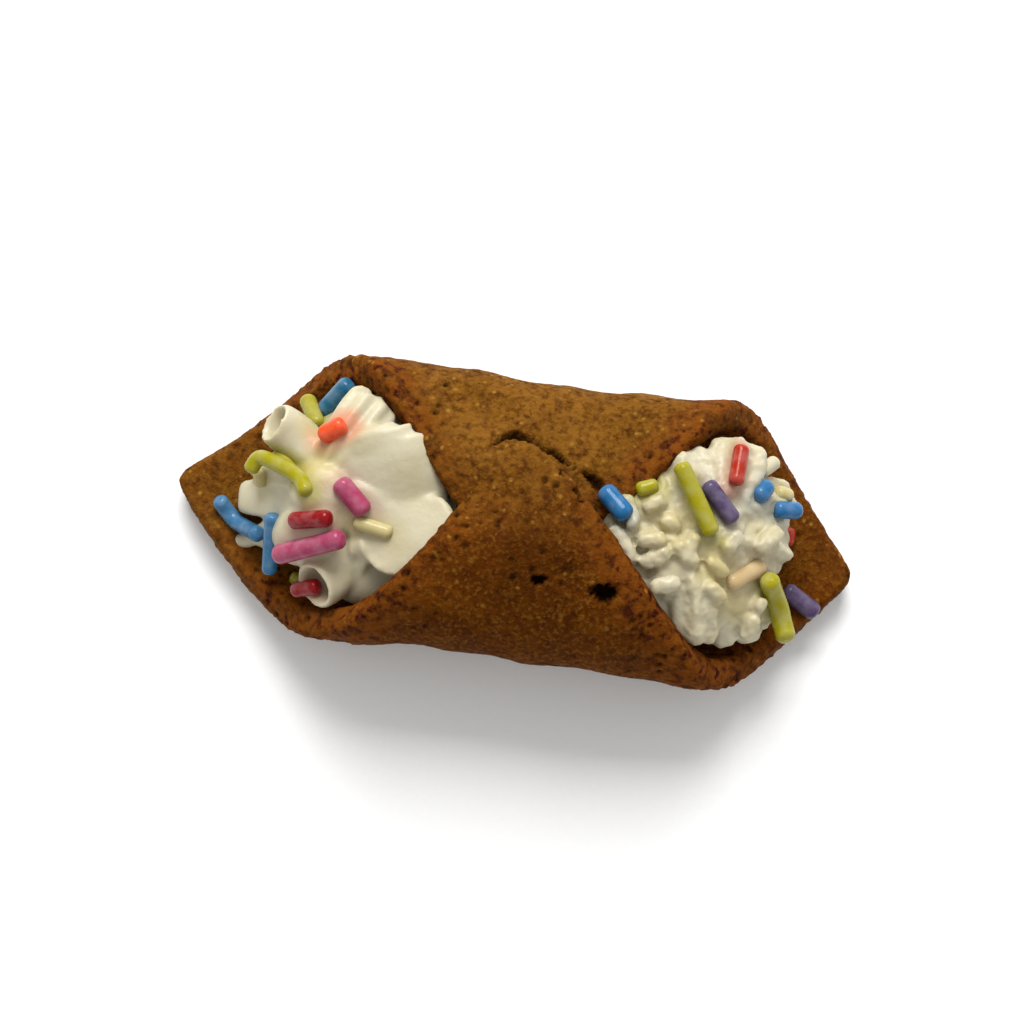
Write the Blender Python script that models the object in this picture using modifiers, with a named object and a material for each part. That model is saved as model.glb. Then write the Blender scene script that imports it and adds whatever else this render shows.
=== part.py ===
"""A small cannoli: one diamond of brown dough rolled corner over corner, filled with piped
cream that swells out of both ends and carries loose sugar strands.

Sizes are in millimetres and become metres where points are placed. X runs along the roll,
Y towards the back, Z up. The origin is on the ground under the middle of the roll.
"""

import bisect
import math

import bmesh
import bpy
from mathutils import Vector
from mathutils.bvhtree import BVHTree

MM = 0.001

# The flat diamond of dough. A place on it is (along, across): along the roll, and the length
# of dough from the bottom line, counted up the back wall (+) or the front wall (-).
LEFT_TIP = (-38.5, 0.4)
RIGHT_TIP = (38.5, -1.5)
FRONT_CORNER = (-1.4, -45.4)
BACK_CORNER = (0.0, 43.5)
TIP_SHARPNESS = 34.0
FLAP_SHARPNESS = 13.0
# How far each side of the diamond bows out, as a share of its half-width: (at the middle, more
# towards the side's second corner).
LEFT_FRONT_BOW = (-0.09, -0.13)
LEFT_BACK_BOW = (-0.066, 0.054)
RIGHT_FRONT_BOW = (0.035, -0.035)
RIGHT_BACK_BOW = (0.058, -0.065)
CORNER_REACH = 6
SHEET_CELLS = 28

# The roll that the dough is wrapped into, rising a little towards its tips, with its two flaps
# lying on each other where the sheet's corners meet on top.
DOUGH = 3.4
HALF_WIDTH = 14.0
HALF_HEIGHT = 7.9
BOXINESS = 2.2
WAIST = 0.05
WAIST_LENGTH = 13.0
FRONT_WAIST_AT = -3.0
BACK_WAIST_AT = 8.0
FLAP_GAP = 0.7
LAP_START = math.radians(75)
LAP_END = math.radians(150)
LAP_REACH = (9.0, 24.0)
TIP_RISE = 1.3
TIP_RISE_FROM = 19.0
FLAT_SPOT_CUT = 0.45
RIM_ROUNDING = 0.9
RIM_STEPS = 2
RIM_ANGLE = math.radians(50)
ANGLE_STEP = 0.01
GROUND_SLAB = (100.0, 60.0, 20.0)

# Gentle waves of the dough: their height, and how many radians they turn a millimetre (along,
# across). They fade out where the flaps lie on each other.
WAVE = 0.22
LONG_WAVE_TURN = (0.33, 0.29)
LONG_WAVE_START = (1.1, 0.4)
SHORT_WAVE_TURN = (0.71, -0.17)
SHORT_WAVE_START = 2.0
SHORT_WAVE_SHARE = 0.6
HIGHEST_WAVE = 1.7
OVERLAP_ACROSS = (22.0, 30.0)
OVERLAP_ALONG = (8.0, 16.0)

# Burst bubbles in the front flap: (along, across, length, width, depth).
BUBBLES = [
    (10.2, -28.8, 2.7, 1.9, 1.5),
    (3.3, -29.1, 1.7, 1.1, 0.9),
    (6.1, -30.4, 1.6, 0.9, 0.6),
]

# The cream. The mould is the dough, a little grown, and keeps the cream clear of it.
CLEARANCE = 0.32
MOULD_GROWTH = 0.012
CORE_HALF_LENGTH = 27.5
CORE_SIDES = 20
CORE_RINGS = 16
CORE_BLUNTNESS = 3.2
PETAL_SIDES = 12
PETAL_RINGS = 8
ROOT_FULLNESS = 0.75
END_FULLNESS = 1.25

# A petal of cream: (root, end, width, depth, arch, lean in degrees).
LEFT_PETALS = [
    ((-21.5, 2.4, 13.8), (-13.9, 10.1, 12.0), 7.0, 7.0, 1.0, 20),
    ((-21.0, 0.9, 14.5), (-8.0, 5.1, 13.4), 9.0, 7.0, 0.8, 15),
    ((-20.5, -1.4, 14.8), (-8.0, -5.3, 13.6), 9.6, 7.4, 1.2, 10),
    ((-20.8, -3.1, 13.6), (-18.7, -11.6, 8.6), 9.4, 6.6, 1.0, 0),
    ((-22.0, -1.1, 13.6), (-25.0, -7.2, 8.8), 6.4, 6.0, 1.2, 0),
    ((-21.5, 0.0, 13.6), (-30.4, -1.6, 4.8), 5.8, 5.6, 1.4, 0),
    ((-21.5, 1.4, 13.8), (-27.2, 6.2, 8.6), 6.2, 5.8, 1.2, -10),
    ((-24.5, -4.0, 8.0), (-30.4, -6.0, 4.2), 2.8, 2.4, 0.4, 0),
]
RIGHT_PETALS = [
    ((20.5, 3.1, 14.2), (13.5, 7.9, 13.4), 7.0, 6.4, 0.8, 0),
    ((21.0, 3.7, 13.8), (24.3, 10.7, 9.8), 7.0, 6.0, 1.2, 0),
    ((21.5, 2.9, 13.8), (28.4, 6.8, 7.4), 5.8, 5.6, 1.2, 0),
    ((21.5, 1.3, 13.8), (29.4, -0.8, 5.8), 6.4, 5.8, 1.4, 0),
    ((21.3, -0.7, 13.6), (28.1, -7.8, 6.2), 5.4, 5.4, 1.2, 0),
    ((21.0, -1.1, 13.8), (24.7, -10.1, 7.6), 4.8, 5.6, 1.2, 0),
    ((20.4, -1.1, 14.2), (19.7, -11.7, 8.6), 7.0, 6.4, 1.0, 0),
    ((20.0, 0.3, 14.6), (12.6, -6.3, 12.8), 7.2, 6.4, 0.8, 0),
    ((20.0, 2.1, 14.6), (8.8, 1.6, 13.8), 6.0, 6.0, 0.6, 0),
]

# Sugar strands. A straight one over a bump is lifted by part of the bump's height.
STRAND_SINK = 0.35
END_ROUNDING = 0.18
END_RADIUS = 0.6
BRIDGED_SHARE = 0.8
WELD = 0.01
ABOVE_ALL = 60.0

# Where the strands lie: (places on the cream seen from above, thickness, lift).
LEFT_STRANDS = [
    ([(-22.0, 7.9), (-20.2, 11.4)], 2.0, 2.0),
    ([(-24.0, 10.4), (-22.0, 6.2)], 1.9, 0.6),
    ([(-21.9, 5.3), (-20.7, 6.0), (-19.5, 7.1)], 2.0, 0.2),
    ([(-28.5, 0.5), (-27.9, 2.5), (-25.3, 2.1), (-23.4, 1.2), (-22.7, -1.1)], 1.7, 0.3),
    ([(-19.1, 0.5), (-16.4, -2.1)], 2.2, 0.3),
    ([(-23.8, -4.0), (-19.5, -3.4)], 2.0, 0.2),
    ([(-25.4, -7.4), (-17.8, -5.7)], 2.0, 0.5),
    ([(-31.6, -1.9), (-29.9, -3.7), (-26.7, -5.1)], 1.7, 0.1),
    ([(-26.1, -2.8), (-25.5, -9.1)], 1.9, 0.6),
    ([(-22.2, -10.7), (-19.4, -9.9)], 2.0, 0.1),
    ([(-23.7, -9.0), (-22.1, -9.6)], 1.5, 0.0),
    ([(-18.0, -3.5), (-13.2, -4.2)], 1.6, -0.2),
]
RIGHT_STRANDS = [
    ([(9.4, 3.1), (11.7, 1.3)], 2.1, 0.2),
    ([(12.4, 3.9), (14.9, 4.6)], 2.0, 0.2),
    ([(16.9, 7.3), (21.3, -0.2)], 2.0, 0.4),
    ([(20.0, 5.7), (23.5, 1.8)], 2.0, 0.4),
    ([(23.1, 10.1), (22.8, 5.4)], 1.8, 0.2),
    ([(24.9, 7.4), (27.3, 9.7)], 1.6, 0.7),
    ([(24.6, 4.2), (26.6, 6.0)], 2.0, 0.8),
    ([(27.4, 3.8), (30.0, 4.5)], 1.8, 0.7),
    ([(26.9, 6.3), (29.4, 5.6)], 1.6, 0.6),
    ([(29.2, 2.8), (29.2, 0.8)], 1.7, 0.2),
    ([(27.9, -3.7), (29.6, -6.4), (30.5, -9.4)], 2.1, 0.3),
    ([(28.4, -3.6), (33.0, -6.2)], 2.0, 0.9),
    ([(10.6, -0.2), (13.4, -4.7)], 1.7, 0.0),
    ([(13.7, -4.9), (16.8, -2.5)], 1.7, 0.2),
    ([(15.1, -6.7), (19.3, -5.3)], 1.7, 0.2),
    ([(23.4, -5.2), (27.3, -1.7)], 1.9, 0.3),
    ([(26.1, -4.8), (28.0, -6.1)], 1.8, 0.3),
    ([(25.5, -7.4), (25.1, -10.2)], 1.5, 0.2),
    ([(23.9, -2.4), (25.7, -0.3)], 1.7, 0.2),
    ([(22.2, -3.2), (20.1, -2.0)], 1.6, 0.3),
    ([(14.8, 0.7), (16.7, 3.3)], 1.6, 0.1),
]


# Linear colours and roughness of the two materials.
DOUGH_COLOUR = (0.21, 0.085, 0.014)
DOUGH_ROUGHNESS = 0.75
CREAM_COLOUR = (0.80, 0.76, 0.62)
CREAM_ROUGHNESS = 0.45


def smoothstep(low, high, value):
    t = min(1.0, max(0.0, (value - low) / (high - low)))
    return t * t * (3.0 - 2.0 * t)


def clear_scene():
    for obj in list(bpy.data.objects):
        bpy.data.objects.remove(obj)


def new_collection(name):
    collection = bpy.data.collections.new(name)
    bpy.context.scene.collection.children.link(collection)
    return collection


def new_material(name, colour, roughness):
    material = bpy.data.materials.new(name)
    material.use_nodes = True
    shader = material.node_tree.nodes["Principled BSDF"]
    shader.inputs["Base Color"].default_value = (*colour, 1.0)
    shader.inputs["Roughness"].default_value = roughness
    shader.inputs["Metallic"].default_value = 0.0
    return material


def object_from_bmesh(name, mesh_builder, collection, material=None):
    mesh = bpy.data.meshes.new(name)
    mesh_builder.to_mesh(mesh)
    mesh_builder.free()
    mesh.shade_smooth()
    obj = bpy.data.objects.new(name, mesh)
    collection.objects.link(obj)
    if material:
        mesh.materials.append(material)
    return obj


def signed_power(value, power):
    return math.copysign(abs(value) ** power, value)


def section_at_angle(angle):
    """The middle of the dough on a plain cross-section, from the bottom (0) to the top (pi)."""
    power = 2.0 / BOXINESS
    y = HALF_WIDTH * signed_power(math.sin(angle), power)
    z = HALF_HEIGHT * (1.0 - signed_power(math.cos(angle), power))
    return y, z


def make_arc_table(steps=360):
    """Lengths of dough from the bottom line to evenly spaced angles of the cross-section."""
    lengths = [0.0]
    for i in range(1, steps + 1):
        before = section_at_angle(math.pi * (i - 1) / steps)
        here = section_at_angle(math.pi * i / steps)
        lengths.append(lengths[-1] + math.dist(before, here))
    return lengths


ARC_TABLE = make_arc_table()


def angle_at_length(length):
    """The cross-section's angle after a length of dough; past the top it carries on."""
    half_turn = ARC_TABLE[-1]
    if length > half_turn:
        return 2.0 * math.pi - angle_at_length(2.0 * half_turn - length)
    i = max(1, bisect.bisect_left(ARC_TABLE, length))
    share = (length - ARC_TABLE[i - 1]) / (ARC_TABLE[i] - ARC_TABLE[i - 1])
    return math.pi * (i - 1 + share) / (len(ARC_TABLE) - 1)


def section_frame(angle):
    """The cross-section's point and outward direction at an angle."""
    before = section_at_angle(angle - ANGLE_STEP)
    after = section_at_angle(angle + ANGLE_STEP)
    along = Vector((0.0, after[0] - before[0], after[1] - before[1])).normalized()
    y, z = section_at_angle(angle)
    return Vector((0.0, y, z)), Vector((0.0, along.z, -along.y))


def lap_offset(along, angle):
    """How far the outer flap rides out, and the inner one in, where the corners overlap."""
    reach = 1.0 - smoothstep(*LAP_REACH, abs(along))
    return 0.5 * (DOUGH + FLAP_GAP) * reach * smoothstep(LAP_START, LAP_END, angle)


def wrap_at_angle(along, angle, side, out):
    """A point on the roll: side is 1 for the back wall and -1 for the front wall, and out is
    the distance outwards from the middle of the dough."""
    point, outwards = section_frame(angle)
    point += outwards * (out - side * lap_offset(along, angle))
    waist_at = BACK_WAIST_AT if side > 0.0 else FRONT_WAIST_AT
    waist = 1.0 - WAIST * math.exp(-(((along - waist_at) / WAIST_LENGTH) ** 2))
    rise = TIP_RISE * smoothstep(TIP_RISE_FROM, -LEFT_TIP[0], abs(along))
    base = 0.5 * DOUGH - FLAT_SPOT_CUT + rise
    return Vector((along, side * point.y * waist, point.z + base))


def unevenness(along, across):
    """Gentle hand-made waves of the dough, fading out where the flaps lie on each other."""
    long_wave = math.sin(LONG_WAVE_TURN[0] * along + LONG_WAVE_START[0])
    long_wave *= math.sin(LONG_WAVE_TURN[1] * across + LONG_WAVE_START[1])
    turned = SHORT_WAVE_TURN[0] * along + SHORT_WAVE_TURN[1] * across + SHORT_WAVE_START
    waves = long_wave + SHORT_WAVE_SHARE * math.sin(turned)
    overlap = smoothstep(*OVERLAP_ACROSS, abs(across)) * (1.0 - smoothstep(*OVERLAP_ALONG, abs(along)))
    return WAVE * waves * (1.0 - overlap)


def wrap_point(along, across, out=0.0):
    """Where a place on the flat dough ends up on the roll."""
    side = 1.0 if across >= 0.0 else -1.0
    angle = angle_at_length(abs(across))
    return wrap_at_angle(along, angle, side, out + unevenness(along, across))


def bowed(value, other, bow_below, bow_above):
    """Bows one side of the square out or in, and leaves its corners."""
    middle, slant = bow_above if value > 0.0 else bow_below
    return value * (1.0 + (middle + slant * other) * (1.0 - other * other))


def sheet_place(s, t):
    """Maps the square (-1..1, -1..1) to the diamond of dough with its rounded corners."""
    sharpness = TIP_SHARPNESS if s * t > 0.0 else FLAP_SHARPNESS
    largest = max(abs(s), abs(t))
    smallest = min(abs(s), abs(t))
    squareness = smallest / largest if largest > 0.0 else 0.0
    shrink = (1.0 + squareness**sharpness) ** (-1.0 / sharpness)
    rounding = 1.0 + (shrink - 1.0) * largest**CORNER_REACH
    s, t = s * rounding, t * rounding
    s, t = bowed(s, t, LEFT_BACK_BOW, RIGHT_FRONT_BOW), bowed(t, s, LEFT_FRONT_BOW, RIGHT_BACK_BOW)
    weights = {
        LEFT_TIP: (1 - s) * (1 - t) / 4,
        FRONT_CORNER: (1 + s) * (1 - t) / 4,
        RIGHT_TIP: (1 + s) * (1 + t) / 4,
        BACK_CORNER: (1 - s) * (1 + t) / 4,
    }
    along = sum(corner[0] * weight for corner, weight in weights.items())
    across = sum(corner[1] * weight for corner, weight in weights.items())
    return along, across


def rolled_sheet(name, collection, thickness, growth=0.0, material=None):
    """The rolled diamond: a square grid bent into place and thickened by Solidify."""
    builder = bmesh.new()
    bmesh.ops.create_grid(builder, x_segments=SHEET_CELLS, y_segments=SHEET_CELLS, size=1.0)
    for vertex in builder.verts:
        s, t = vertex.co.x * (1.0 + growth), vertex.co.y * (1.0 + growth)
        vertex.co = wrap_point(*sheet_place(s, t)) * MM
    obj = object_from_bmesh(name, builder, collection, material)
    solidify = obj.modifiers.new("thickness", "SOLIDIFY")
    solidify.thickness = thickness * MM
    solidify.offset = 0.0
    solidify.use_even_offset = True
    return obj


def round_rim(obj):
    bevel = obj.modifiers.new("rounded rim", "BEVEL")
    bevel.limit_method = "ANGLE"
    bevel.angle_limit = RIM_ANGLE
    bevel.width = RIM_ROUNDING * MM
    bevel.segments = RIM_STEPS


def cut_with(obj, cutter, solver="EXACT"):
    cut = obj.modifiers.new("cut by " + cutter.name, "BOOLEAN")
    cut.solver = solver
    cut.operation = "DIFFERENCE"
    cut.object = cutter


def make_cutter(obj):
    obj.hide_render = True
    obj.display_type = "WIRE"
    return obj


def ground_cutter(collection):
    """A slab under the ground plane, which leaves the flat spot that the roll baked on."""
    builder = bmesh.new()
    bmesh.ops.create_cube(builder, size=1.0)
    length, width, depth = GROUND_SLAB
    for vertex in builder.verts:
        x, y, z = vertex.co
        vertex.co = Vector((x * length, y * width, (z - 0.5) * depth)) * MM
    return make_cutter(object_from_bmesh("ground_slab", builder, collection))


def bubble_cutters(collection):
    """Small flattened balls that dent the front flap where bubbles burst."""
    cutters = []
    for i, (along, across, length, width, depth) in enumerate(BUBBLES):
        surface = wrap_point(along, across, 0.5 * DOUGH)
        inwards = (wrap_point(along, across) - surface).normalized()
        turn = Vector((0, 0, 1)).rotation_difference(inwards)
        builder = bmesh.new()
        bmesh.ops.create_icosphere(builder, subdivisions=2, radius=1.0)
        for vertex in builder.verts:
            ball = Vector((vertex.co.x * length / 2, vertex.co.y * width / 2, vertex.co.z * depth))
            vertex.co = (surface + turn @ ball) * MM
        cutters.append(make_cutter(object_from_bmesh(f"bubble_{i}", builder, collection)))
    return cutters


def stretched_ball(name, collection, sides, rings, place):
    """A UV sphere whose points place() moves, by their share of the way from pole to pole and
    their angle round the axis."""
    builder = bmesh.new()
    bmesh.ops.create_uvsphere(builder, u_segments=sides, v_segments=rings, radius=1.0)
    for vertex in builder.verts:
        polar = math.acos(max(-1.0, min(1.0, vertex.co.z)))
        around = math.atan2(vertex.co.y, vertex.co.x)
        vertex.co = place(polar, around) * MM
    builder.normal_update()
    bmesh.ops.recalc_face_normals(builder, faces=builder.faces)
    return object_from_bmesh(name, builder, collection)


def cream_core(collection, material):
    """The filling inside the roll, clear of the inner flap, with both ends drawn in."""

    def place(polar, around):
        share = -math.cos(polar)
        along = CORE_HALF_LENGTH * share
        plumpness = (1.0 - abs(share) ** CORE_BLUNTNESS) ** 0.5
        inside = -0.5 * DOUGH - CLEARANCE - WAVE * HIGHEST_WAVE
        floor = wrap_at_angle(along, 0.0, 1.0, inside)
        angle = abs(around)
        wall = wrap_at_angle(along, angle, 1.0, inside)
        wall.y = math.copysign(wall.y, around)
        return floor + (wall - floor) * plumpness

    core = stretched_ball("cream", collection, CORE_SIDES, CORE_RINGS, place)
    core.data.materials.append(material)
    return core


def petal(name, collection, root, end, width, depth, arch, lean):
    """A piped petal: a ball drawn out from its root to its end, fuller towards the end."""
    start, finish = Vector(root), Vector(end)
    axis = (finish - start).normalized()
    across = axis.cross(Vector((0, 0, 1))).normalized()
    upwards = across.cross(axis)
    tilt = math.radians(lean)
    side_axis = across * math.cos(tilt) + upwards * math.sin(tilt)
    up_axis = upwards * math.cos(tilt) - across * math.sin(tilt)

    def place(polar, around):
        share = 0.5 - 0.5 * math.cos(polar)
        fullness = math.sin(polar) * (ROOT_FULLNESS + (END_FULLNESS - ROOT_FULLNESS) * share)
        spine = start.lerp(finish, share) + upwards * (4 * arch * share * (1 - share))
        sideways = side_axis * (0.5 * width * math.cos(around))
        heightwise = up_axis * (0.5 * depth * math.sin(around))
        return spine + (sideways + heightwise) * fullness

    return stretched_ball(name, collection, PETAL_SIDES, PETAL_RINGS, place)


def strand(name, collection, points, thickness):
    """A sugar strand: a six-sided rod along its points, drawn in at both ends."""
    start_inset = (points[1] - points[0]).normalized() * (END_ROUNDING * thickness)
    finish_inset = (points[-2] - points[-1]).normalized() * (END_ROUNDING * thickness)
    path = [points[0], points[0] + start_inset, *points[1:-1], points[-1] + finish_inset, points[-1]]
    curve = bpy.data.curves.new(name, "CURVE")
    curve.dimensions = "3D"
    curve.bevel_depth = 0.5 * thickness * MM
    curve.bevel_resolution = 1
    curve.use_fill_caps = True
    spline = curve.splines.new("POLY")
    spline.points.add(len(path) - 1)
    for place, here in zip(spline.points, path):
        place.co = (*(here * MM), 1.0)
        place.radius = END_RADIUS if here in (path[0], path[-1]) else 1.0
    tube = bpy.data.objects.new(name + "_path", curve)
    collection.objects.link(tube)
    graph = bpy.context.evaluated_depsgraph_get()
    builder = bmesh.new()
    builder.from_mesh(bpy.data.meshes.new_from_object(tube.evaluated_get(graph)))
    bmesh.ops.remove_doubles(builder, verts=builder.verts, dist=WELD * MM)
    bmesh.ops.recalc_face_normals(builder, faces=builder.faces)
    bpy.data.objects.remove(tube)
    return object_from_bmesh(name, builder, collection)


def lay_on(surface, places, thickness, lift):
    """Heights for the points of a strand that was dropped onto the cream or the dough."""
    heights = []
    for x, y in places:
        hit = surface.ray_cast(Vector((x, y, ABOVE_ALL)) * MM, Vector((0, 0, -1)))[0]
        heights.append(hit.z / MM if hit else None)
    known = [height for height in heights if height is not None]
    heights = [min(known) if height is None else height for height in heights]
    if len(places) == 2:
        middle = (Vector((*places[0], ABOVE_ALL)) + Vector((*places[1], ABOVE_ALL))) / 2
        hit = surface.ray_cast(middle * MM, Vector((0, 0, -1)))[0]
        excess = hit.z / MM - sum(heights) / 2 if hit else 0.0
        heights = [height + max(0.0, BRIDGED_SHARE * excess) for height in heights]
    raised = thickness * (0.5 - STRAND_SINK) + lift
    return [Vector((x, y, height + raised)) for (x, y), height in zip(places, heights)]


def union_with(obj, collection):
    join = obj.modifiers.new("join", "BOOLEAN")
    join.solver = "MANIFOLD"
    join.operation = "UNION"
    join.operand_type = "COLLECTION"
    join.collection = collection


def apply_modifiers(obj):
    graph = bpy.context.evaluated_depsgraph_get()
    mesh = bpy.data.meshes.new_from_object(obj.evaluated_get(graph))
    obj.modifiers.clear()
    obj.data = mesh


def remove_collection(collection):
    for obj in list(collection.objects):
        bpy.data.objects.remove(obj)
    bpy.data.collections.remove(collection)


def surface_of(*objects):
    """One search tree over the evaluated faces of several objects."""
    graph = bpy.context.evaluated_depsgraph_get()
    points, faces = [], []
    for obj in objects:
        mesh = obj.evaluated_get(graph).to_mesh()
        first = len(points)
        points += [vertex.co.copy() for vertex in mesh.vertices]
        faces += [[first + i for i in polygon.vertices] for polygon in mesh.polygons]
    return BVHTree.FromPolygons(points, faces)


def islands(builder):
    """The separate bodies of a mesh, as lists of vertices."""
    found, seen = [], set()
    for vertex in builder.verts:
        if vertex in seen:
            continue
        island, waiting = [], [vertex]
        seen.add(vertex)
        while waiting:
            here = waiting.pop()
            island.append(here)
            for edge in here.link_edges:
                other = edge.other_vert(here)
                if other not in seen:
                    seen.add(other)
                    waiting.append(other)
        found.append(island)
    return found


def keep_main_body(obj):
    """Drops loose scraps and the walls of sealed hollows that the joins and cuts left."""
    builder = bmesh.new()
    builder.from_mesh(obj.data)
    bodies = sorted(islands(builder), key=len)
    for body in bodies[:-1]:
        bmesh.ops.delete(builder, geom=body, context="VERTS")
    bmesh.ops.triangulate(builder, faces=builder.faces)
    builder.to_mesh(obj.data)
    builder.free()


def make_shell(parts, cutters):
    dough = new_material("baked_dough", DOUGH_COLOUR, DOUGH_ROUGHNESS)
    shell = rolled_sheet("shell", parts, DOUGH, material=dough)
    round_rim(shell)
    cut_with(shell, ground_cutter(cutters))
    for cutter in bubble_cutters(cutters):
        cut_with(shell, cutter)
    return shell


def make_cream(parts, cutters, shell):
    cream_white = new_material("whipped_cream", CREAM_COLOUR, CREAM_ROUGHNESS)
    cream = cream_core(parts, cream_white)
    lobes = new_collection("cream_lobes")
    for end, petals in (("left", LEFT_PETALS), ("right", RIGHT_PETALS)):
        for i, sizes in enumerate(petals):
            petal(f"{end}_petal_{i}", lobes, *sizes)
    union_with(cream, lobes)
    apply_modifiers(cream)
    remove_collection(lobes)

    mould = make_cutter(rolled_sheet("mould", cutters, DOUGH + 2 * CLEARANCE, growth=MOULD_GROWTH))
    ground = surface_of(cream, shell)
    strands = new_collection("sugar_strands")
    for end, places in (("left", LEFT_STRANDS), ("right", RIGHT_STRANDS)):
        for i, (points, thickness, lift) in enumerate(places):
            laid = lay_on(ground, points, thickness, lift)
            strand(f"{end}_strand_{i}", strands, laid, thickness)
    union_with(cream, strands)
    cut_with(cream, mould, solver="MANIFOLD")
    apply_modifiers(cream)
    remove_collection(strands)
    keep_main_body(cream)
    return cream


def main():
    clear_scene()
    parts = new_collection("cannoli")
    cutters = new_collection("cutters")
    shell = make_shell(parts, cutters)
    make_cream(parts, cutters, shell)


main()
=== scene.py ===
# %% [markdown]
# # A small cannoli
# One diamond of brown biscuit dough is rolled corner over corner, and piped cream swells out of
# both ends with sugar strands on it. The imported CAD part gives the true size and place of
# everything, so the lesson starts by loading it. Lengths are in millimetres until they reach
# Blender, which counts in metres.

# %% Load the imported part
import math

import bmesh
import bpy
import numpy as np
from mathutils import Matrix, Vector
from mathutils.bvhtree import BVHTree
from mathutils.kdtree import KDTree


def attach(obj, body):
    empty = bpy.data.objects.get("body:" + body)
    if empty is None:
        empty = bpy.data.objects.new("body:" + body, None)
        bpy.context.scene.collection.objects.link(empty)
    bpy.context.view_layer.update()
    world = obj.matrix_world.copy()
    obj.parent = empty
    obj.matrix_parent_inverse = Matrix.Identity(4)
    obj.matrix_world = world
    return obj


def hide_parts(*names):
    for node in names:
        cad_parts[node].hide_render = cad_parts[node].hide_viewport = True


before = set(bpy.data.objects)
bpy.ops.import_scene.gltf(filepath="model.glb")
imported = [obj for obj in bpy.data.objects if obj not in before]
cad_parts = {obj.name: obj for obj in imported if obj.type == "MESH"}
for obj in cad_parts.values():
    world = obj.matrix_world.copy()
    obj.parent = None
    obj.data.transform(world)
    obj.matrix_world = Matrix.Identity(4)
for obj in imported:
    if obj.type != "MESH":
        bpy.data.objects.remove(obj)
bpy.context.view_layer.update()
MM = 0.001

# %% [markdown]
# The roll is seen from almost straight above, turned a little clockwise. A camera is easiest to
# place by its own three axes: to its right, up, and back at the viewer. Its distance follows
# from how many millimetres have to fill the picture.

# %% Camera
VIEW_AZIMUTH = math.radians(7.2)
VIEW_ELEVATION = math.radians(85.0)
LENS = 70.0
SENSOR = 36.0
FRAME_WIDTH = 110.3
AIM = Vector((-0.37, 0.39, 10.0))


def placed(name, data):
    """A new object of that data at the origin, linked to the scene."""
    obj = bpy.data.objects.new(name, data)
    bpy.context.scene.collection.objects.link(obj)
    return obj


def make_camera():
    flat, height = math.cos(VIEW_ELEVATION), math.sin(VIEW_ELEVATION)
    rightwards = Vector((math.cos(VIEW_AZIMUTH), math.sin(VIEW_AZIMUTH), 0.0))
    backwards = Vector((rightwards.y * flat, -rightwards.x * flat, height))
    upwards = backwards.cross(rightwards)
    data = bpy.data.cameras.new("camera")
    data.lens, data.sensor_width = LENS, SENSOR
    data.clip_start, data.clip_end = 0.01, 10.0
    camera = placed("camera", data)
    distance = FRAME_WIDTH * LENS / SENSOR
    camera.location = (AIM + backwards * distance) * MM
    camera.rotation_euler = Matrix((rightwards, upwards, backwards)).transposed().to_euler()
    bpy.context.scene.camera = camera
    return distance


print("camera distance", round(make_camera()), "mm")

# %% [markdown]
# Colours are picked as sRGB hex values, as a colour picker shows them, while Blender's shaders
# work in linear light, so one function turns the first into the second. One more adds a shader
# node with its settings and links, so that each material below reads as a short recipe.

# %% Colour and node helpers
def linear(hex_colour):
    channels = [int(hex_colour[i : i + 2], 16) / 255 for i in (1, 3, 5)]
    return (*[c / 12.92 if c <= 0.04045 else ((c + 0.055) / 1.055) ** 2.4 for c in channels], 1.0)


def add_node(tree, kind, inputs=None, **settings):
    """Adds a node to a tree. Each value in inputs is a plain value or another node's output."""
    node = tree.nodes.new(kind)
    for name, value in settings.items():
        setattr(node, name, value)
    for key, value in (inputs or {}).items():
        if isinstance(value, bpy.types.NodeSocket):
            tree.links.new(value, node.inputs[key])
        else:
            node.inputs[key].default_value = value
    return node


def math_of(tree, operation, *values):
    return add_node(tree, "ShaderNodeMath", dict(enumerate(values)), operation=operation).outputs[0]


def new_material(name, **shader_values):
    """A material, its node tree, its shader, and the place on the object in metres."""
    material = bpy.data.materials.new(name)
    material.use_nodes = True
    tree = material.node_tree
    shader = tree.nodes["Principled BSDF"]
    for key, value in shader_values.items():
        shader.inputs[key.replace("_", " ")].default_value = value
    return material, tree, shader, add_node(tree, "ShaderNodeTexCoord").outputs["Object"]


def per_mm(size):
    """The scale that gives a texture on Object coordinates features of that many millimetres."""
    return 1.0 / (size * MM)


def noise_of(tree, place, size, detail, roughness=0.5):
    inputs = {"Vector": place, "Scale": per_mm(size), "Detail": detail, "Roughness": roughness}
    return add_node(tree, "ShaderNodeTexNoise", inputs).outputs[0]


def tinted(tree, share, below, above):
    """The output of a Mix node from one colour to another. Each may be a hex value or an output."""
    below, above = (linear(c) if isinstance(c, str) else c for c in (below, above))
    return add_node(tree, "ShaderNodeMix", {0: share, 6: below, 7: above}, data_type="RGBA").outputs[2]


def spread(tree, value, low, high, out_low=0.0, out_high=1.0, **settings):
    """Stretches a value's range from low..high to out_low..out_high, and clamps it there."""
    inputs = {"Value": value, "From Min": low, "From Max": high, "To Min": out_low, "To Max": out_high}
    return add_node(tree, "ShaderNodeMapRange", inputs, **settings).outputs[0]


def add_bump(tree, shader, height, strength, distance):
    """Bends a material's shading by a height that counts as that many millimetres."""
    inputs = {"Height": height, "Strength": strength, "Distance": distance * MM}
    tree.links.new(add_node(tree, "ShaderNodeBump", inputs).outputs[0], shader.inputs["Normal"])


# %% [markdown]
# The pastry lies on plain pale paper under soft light that comes from above and behind, so that
# its back is bright and its front falls into shade. One large area light gives that, and a dim
# even sky fills the shadows.

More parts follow.
